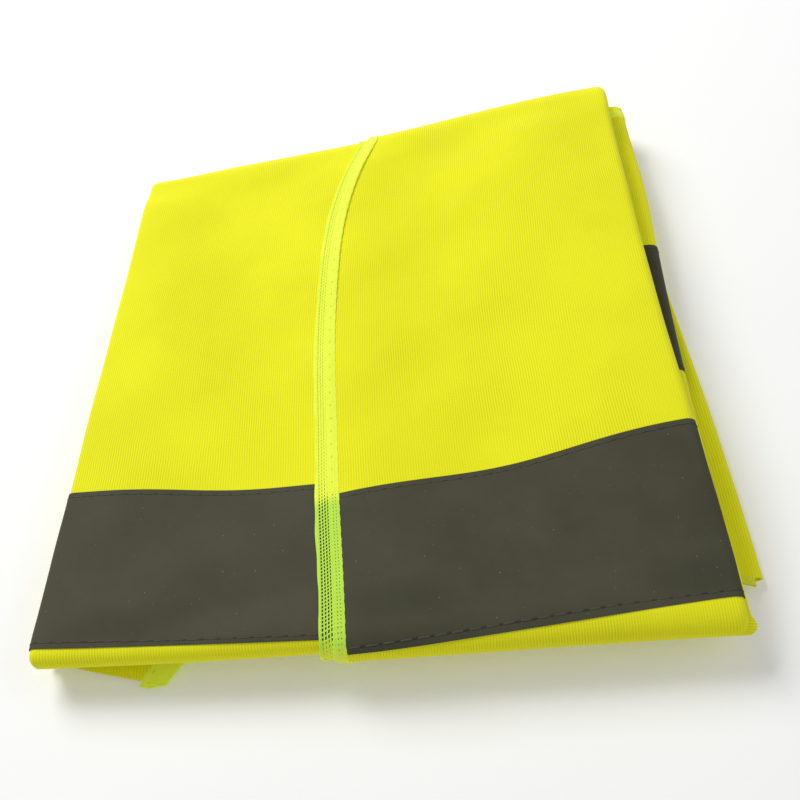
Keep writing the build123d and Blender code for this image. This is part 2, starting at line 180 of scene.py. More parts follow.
def smooth_curve(stations, values, at):
    """A smooth curve through the values at the stations, flat beyond the ends."""
    stations = np.asarray(stations, float)
    values = np.asarray(values, float)
    slopes = np.gradient(values, stations)
    slopes[0] = slopes[-1] = 0
    at = np.clip(at, stations[0], stations[-1])
    i = np.clip(np.searchsorted(stations, at) - 1, 0, len(stations) - 2)
    width = stations[i + 1] - stations[i]
    t = (at - stations[i]) / width
    rise = values[i] * (1 - 3 * t**2 + 2 * t**3) + values[i + 1] * (3 * t**2 - 2 * t**3)
    lean = slopes[i] * (t - 2 * t**2 + t**3) + slopes[i + 1] * (t**3 - t**2)
    return rise + lean * width


def fan_point(place, x, n):
    """(X, Z) of a point of a flat ply, n above its middle surface."""
    turn = place * ANGLE
    reach = x - APEX_X
    across = APEX_X + reach * math.cos(turn) - n * math.sin(turn)
    up = APEX_Z + reach * math.sin(turn) + n * math.cos(turn)
    return across, up


def side_turn(panel, way):
    """(centre X, centre Z, radius, start angle, sweep) of a panel's turn over a side fold."""
    top, bottom = panel.middle, panel.side(way)
    half = (top - bottom) / 2 * ANGLE
    reach = way * EDGE - APEX_X
    lean = (top + bottom) / 2 * ANGLE
    far = reach / math.cos(half)
    centre = APEX_X + far * math.cos(lean), APEX_Z + far * math.sin(lean)
    sweep = -way * math.pi - (top - bottom) * ANGLE
    return *centre, reach * math.tan(half), math.pi / 2 + top * ANGLE, sweep


def turn_length(panel, way):
    """The length of a panel's middle surface round a side fold."""
    _, _, radius, _, sweep = side_turn(panel, way)
    return radius * abs(sweep)


def section_point(panel, u, n):
    """(X, Z) in the chest layer of the panel's flat position u, n above its upper face."""
    x, z = fan_point(panel.middle, u, n)
    for way in (1, -1):
        if panel.side(way) is None:
            continue
        past = way * u - EDGE
        length = turn_length(panel, way)
        cx, cz, radius, start, sweep = side_turn(panel, way)
        angle = start + sweep * np.clip(past / length, 0, 1)
        in_turn = (past > 0) & (past <= length)
        x = np.where(in_turn, cx + (radius + n) * np.cos(angle), x)
        z = np.where(in_turn, cz + (radius + n) * np.sin(angle), z)
        flat_x, flat_z = fan_point(panel.side(way), way * (EDGE - (past - length)), -n)
        x = np.where(past > length, flat_x, x)
        z = np.where(past > length, flat_z, z)
    return x, z


def cross_turned(x, z, place, angle):
    """(X, Z, how far out) of a section point turned about a cross fold's axis."""
    lean = place * ANGLE
    along = (x - APEX_X) * math.cos(lean) + (z - APEX_Z) * math.sin(lean)
    height = -(x - APEX_X) * math.sin(lean) + (z - APEX_Z) * math.cos(lean)
    up = height * np.cos(angle)
    x = APEX_X + along * math.cos(lean) - up * math.sin(lean)
    z = APEX_Z + along * math.sin(lean) + up * math.cos(lean)
    return x, z, height * np.sin(angle)


def from_front_edge(panel, u):
    """0 at a front panel's edge and 1 at its side fold."""
    way = -1 if panel is RIGHT_FRONT else 1
    return np.clip((way * u + FRONT_EDGE_X) / (EDGE + FRONT_EDGE_X), 0, 1)


def slipped(panel, u, v):
    """v after the panel has slipped over the near fold, most of all at its front edge."""
    side = from_front_edge(panel, u)
    edge_slip, side_slip = (smooth_curve(SLIP_AT, values, v) for values in SLIP[panel.name])
    return v - edge_slip * (1 - side) - side_slip * side


def folded(panel, u, v, n):
    """Points of the folded parcel, from flat positions u across and v along the panel.

    v is 0 at the near fold and LENGTH at the far fold, in the chest layer. It is less in
    the hem layer and more in the shoulder layer.
    """
    v = slipped(panel, u, v)
    x, z = section_point(panel, u, n)
    far = np.clip((v - LENGTH) / FAR_ARC, 0, 1) * math.pi
    near = np.clip(-v / NEAR_ARC, 0, 1) * math.pi
    far_x, far_z, far_out = cross_turned(x, z, FAR_AXIS, far)
    near_x, near_z, near_out = cross_turned(x, z, NEAR_AXIS, near)
    if panel is LEFT_FRONT:
        near_out = near_out * (1 + NEAR_BULGE * (1 - from_front_edge(panel, u)))
    y = np.where(v > LENGTH, LENGTH + far_out - np.maximum(v - LENGTH - FAR_ARC, 0), v)
    y = np.where(v < 0, -near_out + np.maximum(-v - NEAR_ARC, 0), y)
    x = np.where(v > LENGTH, far_x, np.where(v < 0, near_x, x))
    z = np.where(v > LENGTH, far_z, np.where(v < 0, near_z, z))
    return np.stack([x, y, z], axis=-1)


# ---------------- how the parcel has settled

# Every shift is from the frame's place, and given for the chest, hem or shoulder layer.
ALONG = (-8.0, 50.0, 105.0, 150.0, 200.0)
ACROSS = (-EDGE, -60.0, 0.0, EDGE)
# To the right, at places along: at the left side folds, then at the right ones
LEFT_SHIFT = (-2.4, -0.9, 2.0, 4.6, 7.0)
RIGHT_SHIFT = {
    "chest": (1.7, -2.5, -3.4, -3.3, -2.5),
    "hem": (4.5, 1.9, 3.5, 6.0, 5.5),
    "shoulder": (12.5, 10.5, 7.2, 4.5, 0.0),
}
MIDDLE_SHIFT = (0.9, -0.5, -2.8, -1.8, -1.0)  # what the middle lies beyond a straight line
# Away from the near fold, at places across: at the near end, then at the far end
NEAR_SHIFT = {
    "chest": (0.0, 0.0, 1.3, 3.0),
    "hem": (0.0, 0.0, 1.3, 3.0),
    "shoulder": (0.0, 2.0, 5.0, 13.0),
}
FAR_SHIFT = {
    "chest": (-3.5, -1.0, 3.2, 13.6),
    "hem": (-3.5, -1.0, 3.2, 20.0),
    "shoulder": (-3.5, -1.0, 3.2, 13.6),
}
# How late along the parcel a layer's shift turns from the near one to the far one
SHIFT_POWER = {"chest": 1.0, "hem": 1.75, "shoulder": 1.0}
# The parcel's thickness beside the frame's, at its left edge, middle and right edge
THICKNESS_LEFT = (0.95, 0.86, 0.80, 0.80, 0.80)
THICKNESS_MIDDLE = (0.80, 0.74, 0.80, 0.88, 0.93)
THICKNESS_RIGHT = (0.62, 0.96, 0.98, 1.00, 1.00)
# By side: left is -1 and right is 1; then near is -1 and far is 1
CORNER_RADIUS = {(-1, 1): 5.0, (1, 1): 1.5, (-1, -1): 2.5, (1, -1): 1.5}
CORNER_REACH = 2.6  # how far the side folds stand out beyond EDGE


def layer_mix(values, height, y):
    """A blend of the three layers' values, by height as a share of the parcel.

    The hem layer lies loose between the other two, and ends where the far fold begins.
    """
    chest = smooth_step(0.3, 0.7, height)
    outer_layers = values["shoulder"] + (values["chest"] - values["shoulder"]) * chest
    hem = smooth_step(0.28, 0.35, height) * (1 - smooth_step(0.68, 0.73, height))
    hem = hem * (1 - smooth_step(LENGTH + 0.5, LENGTH + 4.0, y))
    return outer_layers * (1 - hem) + values["hem"] * hem


def undulation(x, y):
    """The soft swells of the top surface: ridges over the overlap and inside each side fold."""
    swell = 1.6 * np.cos(2 * math.pi * (x + 5 + 0.12 * (y - 100)) / 80)
    swell += 0.65 * np.sin((x + 0.9 * y) / 21 + 1.1) * np.sin(y / 45 + 0.5)
    return swell + 0.16 * np.sin((x - 1.7 * y) / 12 + 2.0)


def round_corners(x, y):
    """Draws the corners of the parcel in, so that each is round seen from above."""
    pitch = ANGLE * (x - APEX_X)
    limits = {1: LENGTH + FAR_AXIS * pitch, -1: -(TOP - NEAR_AXIS) * pitch}
    for (way, end), radius in CORNER_RADIUS.items():
        ax = np.clip((way * x - (EDGE + CORNER_REACH - radius)) / radius, 0, 1)
        ay = np.clip((end * (y - limits[end]) + radius) / radius, 0, 1)
        x = x - way * radius * ax * (1 - np.sqrt(1 - ay**2 / 2))
        y = y - end * radius * ay * (1 - np.sqrt(1 - ax**2 / 2))
    return x, y


def settled(points):
    """The parcel's points as the soft cloth lies."""
    x, y, z = points[..., 0], points[..., 1], points[..., 2]
    height = np.clip(z / (APEX_Z + TOP * ANGLE * (x - APEX_X)), 0, 1)
    side = np.clip((x + EDGE) / (2 * EDGE), -0.05, 1.05)
    along = np.clip(y / LENGTH, 0, 1)
    right = {layer: smooth_curve(ALONG, values, y) for layer, values in RIGHT_SHIFT.items()}
    bow = 4 * side * (1 - side)
    shift_x = smooth_curve(ALONG, LEFT_SHIFT, y) * (1 - side) + layer_mix(right, height, y) * side
    shift_x = shift_x + smooth_curve(ALONG, MIDDLE_SHIFT, y) * bow
    away = {}
    for layer, power in SHIFT_POWER.items():
        near, far = (smooth_curve(ACROSS, shifts[layer], x) for shifts in (NEAR_SHIFT, FAR_SHIFT))
        away[layer] = near + (far - near) * along**power
    shift_y = layer_mix(away, height, y)
    left_scale, middle_scale, right_scale = (
        smooth_curve(ALONG, values, y) for values in (THICKNESS_LEFT, THICKNESS_MIDDLE, THICKNESS_RIGHT)
    )
    sag = middle_scale - (left_scale + right_scale) / 2
    scale = left_scale * (1 - side) + right_scale * side + sag * bow
    inside = smooth_step(0, 12, y) * smooth_step(0, 14, LENGTH - y)  # 0 at the cross folds
    lifted = z * scale + height * inside * undulation(x, y)
    round_x, round_y = round_corners(x, y)
    return np.stack([round_x + shift_x, round_y + shift_y, lifted], axis=-1)


# ---------------- the cut's outlines


def shoulder_y(across):
    """The shoulder line, at a distance from the vest's middle."""
    return NECK_Y + SHOULDER_SLOPE * (across - NECK_HALF_WIDTH)


def front_edge(y, inset):
    """X of the left front's edge in the chest layer, inset from its free edge."""
    rise = np.clip(y - NECK_START_Y, 0, LENGTH)
    return NECK_RADIUS - FRONT_EDGE_X - np.sqrt((NECK_RADIUS - inset) ** 2 - rise**2)


def back_neck_y(across, inset):
    """The back neckline: an arc through the two neck points and its lowest point."""
    half, low = NECK_HALF_WIDTH + inset, BACK_NECK_Y + inset
    end = shoulder_y(half)
    radius = (half**2 + (low - end) ** 2) / (2 * (low - end))
    return low - radius + np.sqrt(np.maximum(radius**2 - np.minimum(across, half) ** 2, 0))


# The flat stretch along the vest of each part of a panel
STRETCH = {
    "body": (-NEAR_ARC - HEM_Y, LENGTH - OVERLAP),
    "far_fold": (LENGTH - OVERLAP, LENGTH + FAR_ARC + OVERLAP),
    "shoulder": (LENGTH + FAR_ARC + OVERLAP, 2 * LENGTH + FAR_ARC + SHOULDER_REACH),
}
FOLD_STEP = 1.0  # the rows' spacing round the cross folds


def part_rows(part, spacing):
    """Flat positions along a part, closer together round the cross folds."""
    start, end = STRETCH[part]
    folds = (-NEAR_ARC, NEAR_REACH, LENGTH, LENGTH + FAR_ARC)
    knots = [start, *(knot for knot in folds if start < knot < end), end]
    rows = []
    for low, high in zip(knots, knots[1:]):
        in_fold = low in folds[::2] and high in folds[1::2]
        rows += list(even(low, high, FOLD_STEP if in_fold else spacing)[bool(rows):])
    return rows


def zone(v):
    """(layer or fold, place in it) of a flat position along the vest."""
    if v < -NEAR_ARC:
        return "hem", -NEAR_ARC - v
    if v < 0:
        return "near", -v / NEAR_ARC
    if v <= LENGTH:
        return "chest", v
    if v < LENGTH + FAR_ARC:
        return "far", (v - LENGTH) / FAR_ARC
    return "shoulder", 2 * LENGTH + FAR_ARC - v


def drawn_to(v, end_y):
    """v, or in the shoulder layer v drawn to a shoulder line at end_y."""
    kind, value = zone(v)
    if kind != "shoulder":
        return np.full_like(end_y, v)
    share = shoulder_share(kind, value)
    return LENGTH + FAR_ARC + share * (LENGTH - end_y)


def shoulder_share(kind, value):
    """How far a row is from the far fold, at 0, to the shoulder seam, at 1."""
    return (LENGTH - value) / (LENGTH + SHOULDER_REACH) if kind == "shoulder" else 0.0


def front_inner_x(kind, value, inset):
    """X of the left front's edge on a row, inset from its free edge."""
    if kind in ("hem", "near"):
        return inset - FRONT_EDGE_X
    if kind == "chest":
        return float(front_edge(value, inset))
    fold = float(front_edge(LENGTH, inset))
    return fold + shoulder_share(kind, value) * (NECK_HALF_WIDTH + inset - fold)


def armhole_x(kind, value, inset):
    """X of the end of the right side third on a row, inset from the armhole's free edge."""
    if kind in ("hem", "near"):
        return -SEAM_X
    if kind == "chest":
        level = LENGTH - ARMHOLE_RADIUS - inset
        foot = -ARMHOLE_X - ARMHOLE_RADIUS
        if value <= level:
            step = smooth_step(level - 3.0, level, value)
            return -SEAM_X + float(step) * (foot + SEAM_X)
        return foot + math.sqrt((ARMHOLE_RADIUS + inset) ** 2 - (LENGTH - value) ** 2)
    fold = inset - ARMHOLE_X
    return fold + shoulder_share(kind, value) * (ARMHOLE_X - ARMHOLE_TIP_X)


def even(start, end, spacing):
    """Evenly spaced values from start to end."""
    return np.linspace(start, end, max(2, round(abs(end - start) / spacing) + 1))


def panel_grid(panel, part, spacing):
    """Flat positions (u, v) of a panel's grid for one part."""
    rows_u, rows_v = [], []
    for row in part_rows(part, spacing):
        u, end_y = panel_row(panel, *zone(row), spacing)
        rows_u.append(u)
        rows_v.append(drawn_to(row, end_y))
    return np.array(rows_u), np.array(rows_v)


def panel_row(panel, kind, value, spacing):
    """(u, the shoulder line's y) across one row of a panel."""
    inner = front_inner_x(kind, value, CUT_EDGE)
    limits = {LEFT_FRONT: (inner, EDGE), RIGHT_FRONT: (-EDGE, -inner), BACK: (-EDGE, EDGE)}
    low, high = limits[panel]
    columns = round(2 * EDGE / spacing / (1 if panel is BACK else FRONT_NARROWER)) + 1
    u = [np.linspace(low, high, columns)]
    ends = [middle_end_y(panel, u[0])]
    for way in (1, -1):
        if panel.side(way) is None:
            continue
        length = turn_length(panel, way)
        reach = EDGE - armhole_x(kind, value, CUT_EDGE)
        turn = EDGE + length * np.linspace(0, 1, TURN_COLUMNS + 1)[1:]
        third = EDGE + length + reach * np.linspace(0, 1, round(2 * EDGE / spacing) + 1)[1:]
        across = np.concatenate([np.full(TURN_COLUMNS, EDGE), EDGE + (third - EDGE - length)])
        values = np.concatenate([turn, third])
        if way > 0:
            u.append(values)
            ends.append(shoulder_y(across))
        else:
            u.insert(0, -values[::-1])
            ends.insert(0, shoulder_y(across)[::-1])
    return np.concatenate(u), np.concatenate(ends)


def middle_end_y(panel, x):
    """Where the middle third ends in the shoulder layer."""
    across = np.abs(x)
    line = shoulder_y(across)
    if panel is not BACK:
        return line
    inset = CUT_EDGE
    return np.where(across < NECK_HALF_WIDTH + inset, back_neck_y(across, inset), line)


# ---------------- the meshes


def to_row(points):
    """Points of the parcel in the row's frame, in metres."""
    return (points - ORIGIN) * MM


def slab(name, panel, u, v, low, high, holes=None, uv=None, mark=None):
    """A closed thin mesh over a grid of flat positions, from low to high across the ply.

    low and high may vary over the grid. holes marks the cells that are open right through,
    uv is the material's flat position in millimetres, where that isn't (u, v), and mark is
    its attribute from 0 to 1.
    """
    top = to_row(settled(folded(panel, u, v, np.broadcast_to(high, u.shape)))).reshape(-1, 3)
    bottom = to_row(settled(folded(panel, u, v, np.broadcast_to(low, u.shape)))).reshape(-1, 3)
    rows, columns = u.shape
    solid = np.zeros((rows + 1, columns + 1), dtype=bool)
    solid[1:-1, 1:-1] = True if holes is None else ~holes
    index = np.arange(rows * columns).reshape(rows, columns)
    quads = np.stack([index[:-1, :-1], index[:-1, 1:], index[1:, 1:], index[1:, :-1]], -1)
    quads = quads[solid[1:-1, 1:-1]]
    flipped = quads[:, ::-1] + rows * columns
    across = solid[1:-1, 1:].astype(int) - solid[1:-1, :-1]
    along = solid[1:, 1:-1].astype(int) - solid[:-1, 1:-1]
    walls = walls_between(index[:-1], index[1:], across)
    walls += walls_between(index[:, 1:], index[:, :-1], along)
    flat = (np.stack([u, v], -1) if uv is None else uv).reshape(-1, 2) * MM
    faces = np.concatenate([quads, flipped, *walls])
    turned = np.diff(u[0, :2]) * np.diff(v[:2, 0]) < np.diff(v[0, :2]) * np.diff(u[:2, 0])
    if turned[0]:
        faces = faces[:, ::-1]
    if mark is not None:
        mark = np.tile(np.broadcast_to(mark, u.shape).ravel(), 2)
    return make_mesh(name, np.concatenate([top, bottom]), faces, np.concatenate([flat, flat]), mark)


def walls_between(first, second, step):
    """The upright faces at a grid's edges, where step says a cell's solid starts or ends."""
    count = int(max(first.max(), second.max())) + 1
    walls = []
    for way, a, b in ((1, first, second), (-1, second, first)):
        near, far = a[step == way], b[step == way]
        walls.append(np.stack([near, far, far + count, near + count], -1))
    return walls


def placed(name, data):
    """A new object in the scene."""
    thing = bpy.data.objects.new(name, data)
    bpy.context.scene.collection.objects.link(thing)
    return thing


def make_mesh(name, vertices, faces, flat, mark=None):
    """A smooth object with its flat positions as UV, and its points' mark as an attribute."""
    mesh = bpy.data.meshes.new(name)
    mesh.from_pydata(vertices.tolist(), [], faces.tolist() if isinstance(faces, np.ndarray) else faces)
    layer = mesh.uv_layers.new(name="flat")
    corners = np.empty(len(mesh.loops), dtype=np.int32)
    mesh.loops.foreach_get("vertex_index", corners)
    layer.data.foreach_set("uv", flat[corners].astype(np.float32).ravel())
    mesh.polygons.foreach_set("use_smooth", np.ones(len(mesh.polygons), dtype=bool))
    mesh.set_sharp_from_angle(angle=math.radians(50))
    if mark is not None:
        mesh.attributes.new("mark", "FLOAT", "POINT").data.foreach_set("value", mark.astype(np.float32))
    mesh.update()
    return placed(name, mesh)


def joined(name, pieces):
    """One object from several, each still a mesh of its own inside it."""
    for piece in pieces[1:]:
        piece.data.name = f"{name}_part"
    with bpy.context.temp_override(active_object=pieces[0], selected_editable_objects=pieces):
        bpy.ops.object.join()
    pieces[0].name = name
    return pieces[0]


# ---------------- the materials


class Nodes:
    """A material's node tree, with short calls to add and link nodes."""

    def __init__(self, name):
        self.material = bpy.data.materials.new(name)
        self.material.use_nodes = True
        self.tree = self.material.node_tree
        self.shader = self.tree.nodes["Principled BSDF"]

    def add(self, kind, inputs=(), **settings):
        """A node of this kind. inputs maps a socket to a number, a colour or another socket."""
        node = self.tree.nodes.new(kind)
        for key, value in settings.items():
            setattr(node, key, value)
        for key, value in dict(inputs).items():
            self.set(node.inputs[key], value)
        return node

    def set(self, socket, value):
        """Links a socket, or gives it a value."""
        if isinstance(value, bpy.types.NodeSocket):
            self.tree.links.new(value, socket)
        else:
            socket.default_value = value

    def math(self, operation, *values):
        """The result of a Math node."""
        node = self.add("ShaderNodeMath", operation=operation)
        for socket, value in zip(node.inputs, values):
            self.set(socket, value)
        return node.outputs[0]

    def wave(self, value, pitch):
        """The sine of a flat length, with one turn in each pitch."""
        return self.math("SINE", self.math("MULTIPLY", value, 2 * math.pi / pitch))

    def noise(self, vector, scale, detail=2.0, roughness=0.5):
        """A noise texture's value."""
        inputs = {"Vector": vector, "Scale": scale, "Detail": detail, "Roughness": roughness}
        return self.add("ShaderNodeTexNoise", inputs).outputs["Fac"]

    def ramp(self, value, low, high, to_low=0.0, to_high=1.0):
        """A value mapped from one range to another, and held inside it."""
        inputs = {"Value": value, "From Min": low, "From Max": high}
        inputs |= {"To Min": to_low, "To Max": to_high}
        return self.add("ShaderNodeMapRange", inputs).outputs["Result"]

    def mix(self, share, first, second):
        """A mix of two colours."""
        node = self.add("ShaderNodeMix", data_type="RGBA")
        self.set(node.inputs[0], share)
        self.set(node.inputs[6], first)
        self.set(node.inputs[7], second)
        return node.outputs[2]

    def flat(self):
        """(across, along, the pair as a vector) of the flat cloth, in millimetres."""
        uv = self.add("ShaderNodeUVMap", uv_map="flat").outputs["UV"]
        scale = (1 / MM, 1 / MM, 1 / MM)
        scaled = self.add("ShaderNodeVectorMath", {0: uv, 1: scale}, operation="MULTIPLY").outputs[0]
        parts = self.add("ShaderNodeSeparateXYZ", {0: scaled})
        return parts.outputs[0], parts.outputs[1], scaled

    def mark(self):
        """The mesh's own mark, from 0 to 1, and 0 on a mesh that has none."""
        return self.add("ShaderNodeAttribute", attribute_name="mark").outputs["Fac"]

    def bump(self, height, strength, distance=0.0004):
        """Gives the shader a bump."""
        node = self.add("ShaderNodeBump", {"Height": height, "Strength": strength, "Distance": distance})
        self.set(self.shader.inputs["Normal"], node.outputs["Normal"])

    def finish(self, color, roughness, **inputs):
        """Sets the shader's remaining sockets and returns the material."""
        self.set(self.shader.inputs["Base Color"], color)
        self.set(self.shader.inputs["Roughness"], roughness)
        for key, value in inputs.items():
            self.set(self.shader.inputs[key.replace("_", " ")], value)
        return self.material


YELLOW = (0.90, 0.90, 0.016, 1)
# painted shade: the darker colour in the grooves between the ribs
YELLOW_GROOVE_SHADE = (0.66, 0.65, 0.010, 1)
YELLOW_DEEP = (0.70, 0.68, 0.011, 1)
# painted glow: the fluorescent cloth is given light of its own
FLUORESCENT_GLOW = (1.0, 0.95, 0.0, 1)
TAPE_DARK = (0.064, 0.063, 0.040, 1)
TAPE_PALE = (0.084, 0.082, 0.056, 1)
TAPE_SPECK = (0.30, 0.26, 0.19, 1)
BINDING_DEEP = (0.74, 0.89, 0.055, 1)
BINDING_PALE = (0.89, 0.98, 0.085, 1)
BINDING_OVER_TAPE = (0.47, 0.78, 0.08, 1)
# painted shade: the darkened stitch dimples on the bindings
BINDING_DIMPLE_SHADE = (0.42, 0.55, 0.02, 1)
BINDING_GLOW = (0.95, 1.0, 0.03, 1)
THREAD = (0.078, 0.076, 0.050, 1)
# painted shade: the dark colour of the needle holes
HOLE_SHADE = (0.036, 0.035, 0.025, 1)
OVERLOCK = (0.90, 0.90, 0.05, 1)
HOOKS = (0.7, 0.8, 0.05, 1)
LOOPS = (0.75, 0.85, 0.06, 1)
LABEL_DEEP = (0.72, 0.72, 0.69, 1)
LABEL_PALE = (0.9, 0.9, 0.88, 1)
WEFT_PITCH = 0.5  # the label's


def knit_material():
    """Fluorescent warp knit: fine ribs along the vest with painted shade in their grooves, slow changes
    of tone, and a painted glow of its own.
    """
    m = Nodes("knitted_fabric")
    across, along, flat = m.flat()
    wander = m.math("MULTIPLY", m.math("SUBTRACT", m.noise(flat, 0.05, 3), 0.5), 1.6)
    phase = m.math("MULTIPLY", m.math("ADD", across, wander), math.pi / RIB_PITCH)
    rib = m.math("ABSOLUTE", m.math("SINE", phase))
    course = m.wave(along, COURSE_PITCH)
    tone = m.ramp(m.noise(flat, 0.022, 4, 0.6), 0.3, 0.7)
    depth = m.ramp(m.noise(flat, 0.03, 2), 0.35, 0.65, 0.35, 1.0)
    # painted shade: the grooves between the ribs are darkened
    groove_shade = m.math("MULTIPLY", m.ramp(rib, 0.85, 0.1), depth)
    ribbed = m.mix(groove_shade, YELLOW, YELLOW_GROOVE_SHADE)
    color = m.mix(m.math("MULTIPLY", tone, 0.4), ribbed, YELLOW_DEEP)
    height = m.math("ADD", rib, m.math("MULTIPLY", course, 0.12))
    fuzz = m.math("MULTIPLY", m.noise(flat, 3.0, 2), 0.3)
    m.bump(m.math("ADD", height, fuzz), 0.25, 0.0002)
    # painted glow: the fluorescent cloth gives off light of its own
    glow = {"Emission_Color": FLUORESCENT_GLOW, "Emission_Strength": 0.04}
    return m.finish(color, 0.85, Specular_IOR_Level=0.15, Sheen_Weight=0.05, **glow)


def tape_material():
    """Grey retroreflective tape: a fine grain of beads, faint clouding and pale specks."""
    m = Nodes("reflective_tape")
    _, _, flat = m.flat()
    cloud = m.ramp(m.noise(flat, 0.05, 4, 0.6), 0.25, 0.75)
    speck = m.math("MULTIPLY", m.math("GREATER_THAN", m.noise(flat, 1.5, 0), 0.86), 0.6)
    color = m.mix(speck, m.mix(cloud, TAPE_DARK, TAPE_PALE), TAPE_SPECK)
    m.bump(m.noise(flat, 6.0, 2), 0.12, 0.0001)
    return m.finish(color, m.ramp(cloud, 0, 1, 0.58, 0.68), Specular_IOR_Level=0.06)


def binding_material():
    """Pale yellow-green open knit: rows of small loops, and a line of stitches on its sewn side, whose
    dimples are painted darker as shade.

    The mark says where the thin knit lies over dark tape, which makes it greener.
    """
    m = Nodes("knitted_binding")
    inset, along, flat = m.flat()
    rows = m.wave(along, NET_ROW_PITCH)
    columns = m.wave(m.math("SUBTRACT", inset, NET_FIRST), NET_COLUMN_PITCH)
    loops = m.ramp(m.math("MULTIPLY", rows, columns), -1.0, 1.0)
    tone = m.ramp(m.noise(flat, 0.8, 3), 0.3, 0.7)
    share = m.math("ADD", m.math("MULTIPLY", loops, 0.45), m.math("MULTIPLY", tone, 0.55))
    knit = m.mix(share, BINDING_DEEP, BINDING_PALE)
    knit = m.mix(m.mark(), knit, BINDING_OVER_TAPE)
    from_line = m.math("ABSOLUTE", m.math("SUBTRACT", inset, BINDING_STITCH_INSET))
    from_start = m.math("MODULO", m.math("ADD", along, 1000.0), BINDING_STITCH_PITCH)  # kept above 0
    on_line = m.math("LESS_THAN", from_line, 0.3)
    dimple = m.math("MULTIPLY", on_line, m.math("LESS_THAN", from_start, 0.7))
    # painted shade: the stitch dimples are darkened
    color = m.mix(m.math("MULTIPLY", dimple, 0.5), knit, BINDING_DIMPLE_SHADE)
    relief = m.math("SUBTRACT", m.math("ADD", loops, m.noise(flat, 2.5, 2)), dimple)
    m.bump(relief, 0.25, 0.00025)
    glow = {"Emission_Color": BINDING_GLOW, "Emission_Strength": 0.07}
    return m.finish(color, 0.8, Specular_IOR_Level=0.2, Sheen_Weight=0.1, **glow)


def thread_material(name, color, hole_shade=None):
    """Twisted thread, and the needle holes between its stitches, painted dark as their shade."""
    m = Nodes(name)
    _, _, flat = m.flat()
    twist = m.noise(flat, 2.0, 3)
    dark = tuple(0.8 * c for c in color[:3]) + (1,)
    twisted = m.mix(m.ramp(twist, 0.3, 0.7), dark, color)
    if hole_shade:
        # painted shade: the needle holes' domes take the dark colour
        twisted = m.mix(m.mark(), twisted, hole_shade)
    m.bump(twist, 0.4, 0.0002)
    return m.finish(twisted, 0.65, Specular_IOR_Level=0.2)


def pile_material(name, color, scale):
    """The hooks or loops of a closure patch."""
    m = Nodes(name)
    _, _, flat = m.flat()
    pile = m.noise(flat, scale, 3, 0.7)
    dark = tuple(0.55 * c for c in color[:3]) + (1,)
    m.bump(pile, 0.8, 0.0005)
    return m.finish(m.mix(m.ramp(pile, 0.35, 0.65), dark, color), 0.85)


def label_material():
    """Plain woven satin label."""
    m = Nodes("label")
    _, along, flat = m.flat()
    weft = m.wave(along, WEFT_PITCH)
    tone = m.ramp(m.math("ADD", weft, m.noise(flat, 0.8, 3)), -1, 2)
    m.bump(weft, 0.2, 0.0001)
    return m.finish(m.mix(tone, LABEL_DEEP, LABEL_PALE), 0.5)


def floor_material():
    """A plain pale surface."""
    white = (0.97, 0.97, 0.97, 1)
    return Nodes("floor").finish(white, 0.9, Emission_Color=(1, 1, 1, 1), Emission_Strength=0.08)


MATERIALS = {
    "knitted_fabric": knit_material(),
    "reflective_tape": tape_material(),
    "knitted_binding": binding_material(),
    "thread": thread_material("thread", THREAD, HOLE_SHADE),
    "overlock_thread": thread_material("overlock_thread", OVERLOCK),
    "hook_strip": pile_material("hook_strip", HOOKS, 2.5),
    "loop_strip": pile_material("loop_strip", LOOPS, 1.2),
    "label": label_material(),
}


# ---------------- dressing the frame


def dress(piece, node, part, material):
    """Gives a piece its material, its body and the CAD node that it stands for.
    """
    piece.data.materials.clear()
    piece.data.materials.append(MATERIALS[material])
    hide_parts(node)
    if part == "far_fold":
        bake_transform(piece)
    else:
        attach(piece, "shoulder_third" if part == "shoulder" else "front_parcel")


def make_panels():
    """The three panels, each in its body, far fold and shoulder parts."""
    for panel in PANELS:
        for part in ("body", "far_fold", "shoulder"):
            u, v = panel_grid(panel, part, GRID)
            node = f"{panel.name}_panel_{part}"
            piece = slab(f"{panel.name}_fabric_{part}", panel, u, v, -FABRIC / 2, FABRIC / 2)
            dress(piece, node, part, "knitted_fabric")


def outer(panel):
    """1 where the panel's outer face is up in the chest layer's middle third, else -1."""
    return -1 if panel is BACK else 1


def on_outer(panel, thickness, below=0.0):
    """(low, high) of a thing on a panel's outer face."""
    near = FABRIC / 2 + below
    low, high = sorted((outer(panel) * near, outer(panel) * (near + thickness)))
    return low, high


def band_ends(panel):
    """The lowest and highest u of a band, from its binding or side seam to the other."""
    inner = TAPE_INSET - FRONT_EDGE_X
    low = inner if panel is LEFT_FRONT else -EDGE - turn_length(panel, -1) - EDGE - SEAM_X
    high = -inner if panel is RIGHT_FRONT else EDGE + turn_length(panel, 1) + EDGE + SEAM_X
    return low, high


def band_columns(panel, spacing):
    """The flat positions across a band: its ends, and the panel's own columns between them."""
    low, high = band_ends(panel)
    u, _ = panel_row(panel, "hem", 0.0, spacing)
    return np.concatenate([[low], u[(u > low + 0.2) & (u < high - 0.2)], [high]])


def band_v(layer, y):
    """The flat position along the vest of a place in the chest or hem layer."""
    return y if layer == "upper" else -NEAR_ARC - y


BAND_Y = {"upper": UPPER_BAND_Y, "lower": LOWER_BAND_Y}


def band_edges(layer):
    """The flat positions along the vest of a band's two long edges."""
    return sorted((band_v(layer, BAND_Y[layer]), band_v(layer, BAND_Y[layer] + BAND_WIDTH)))


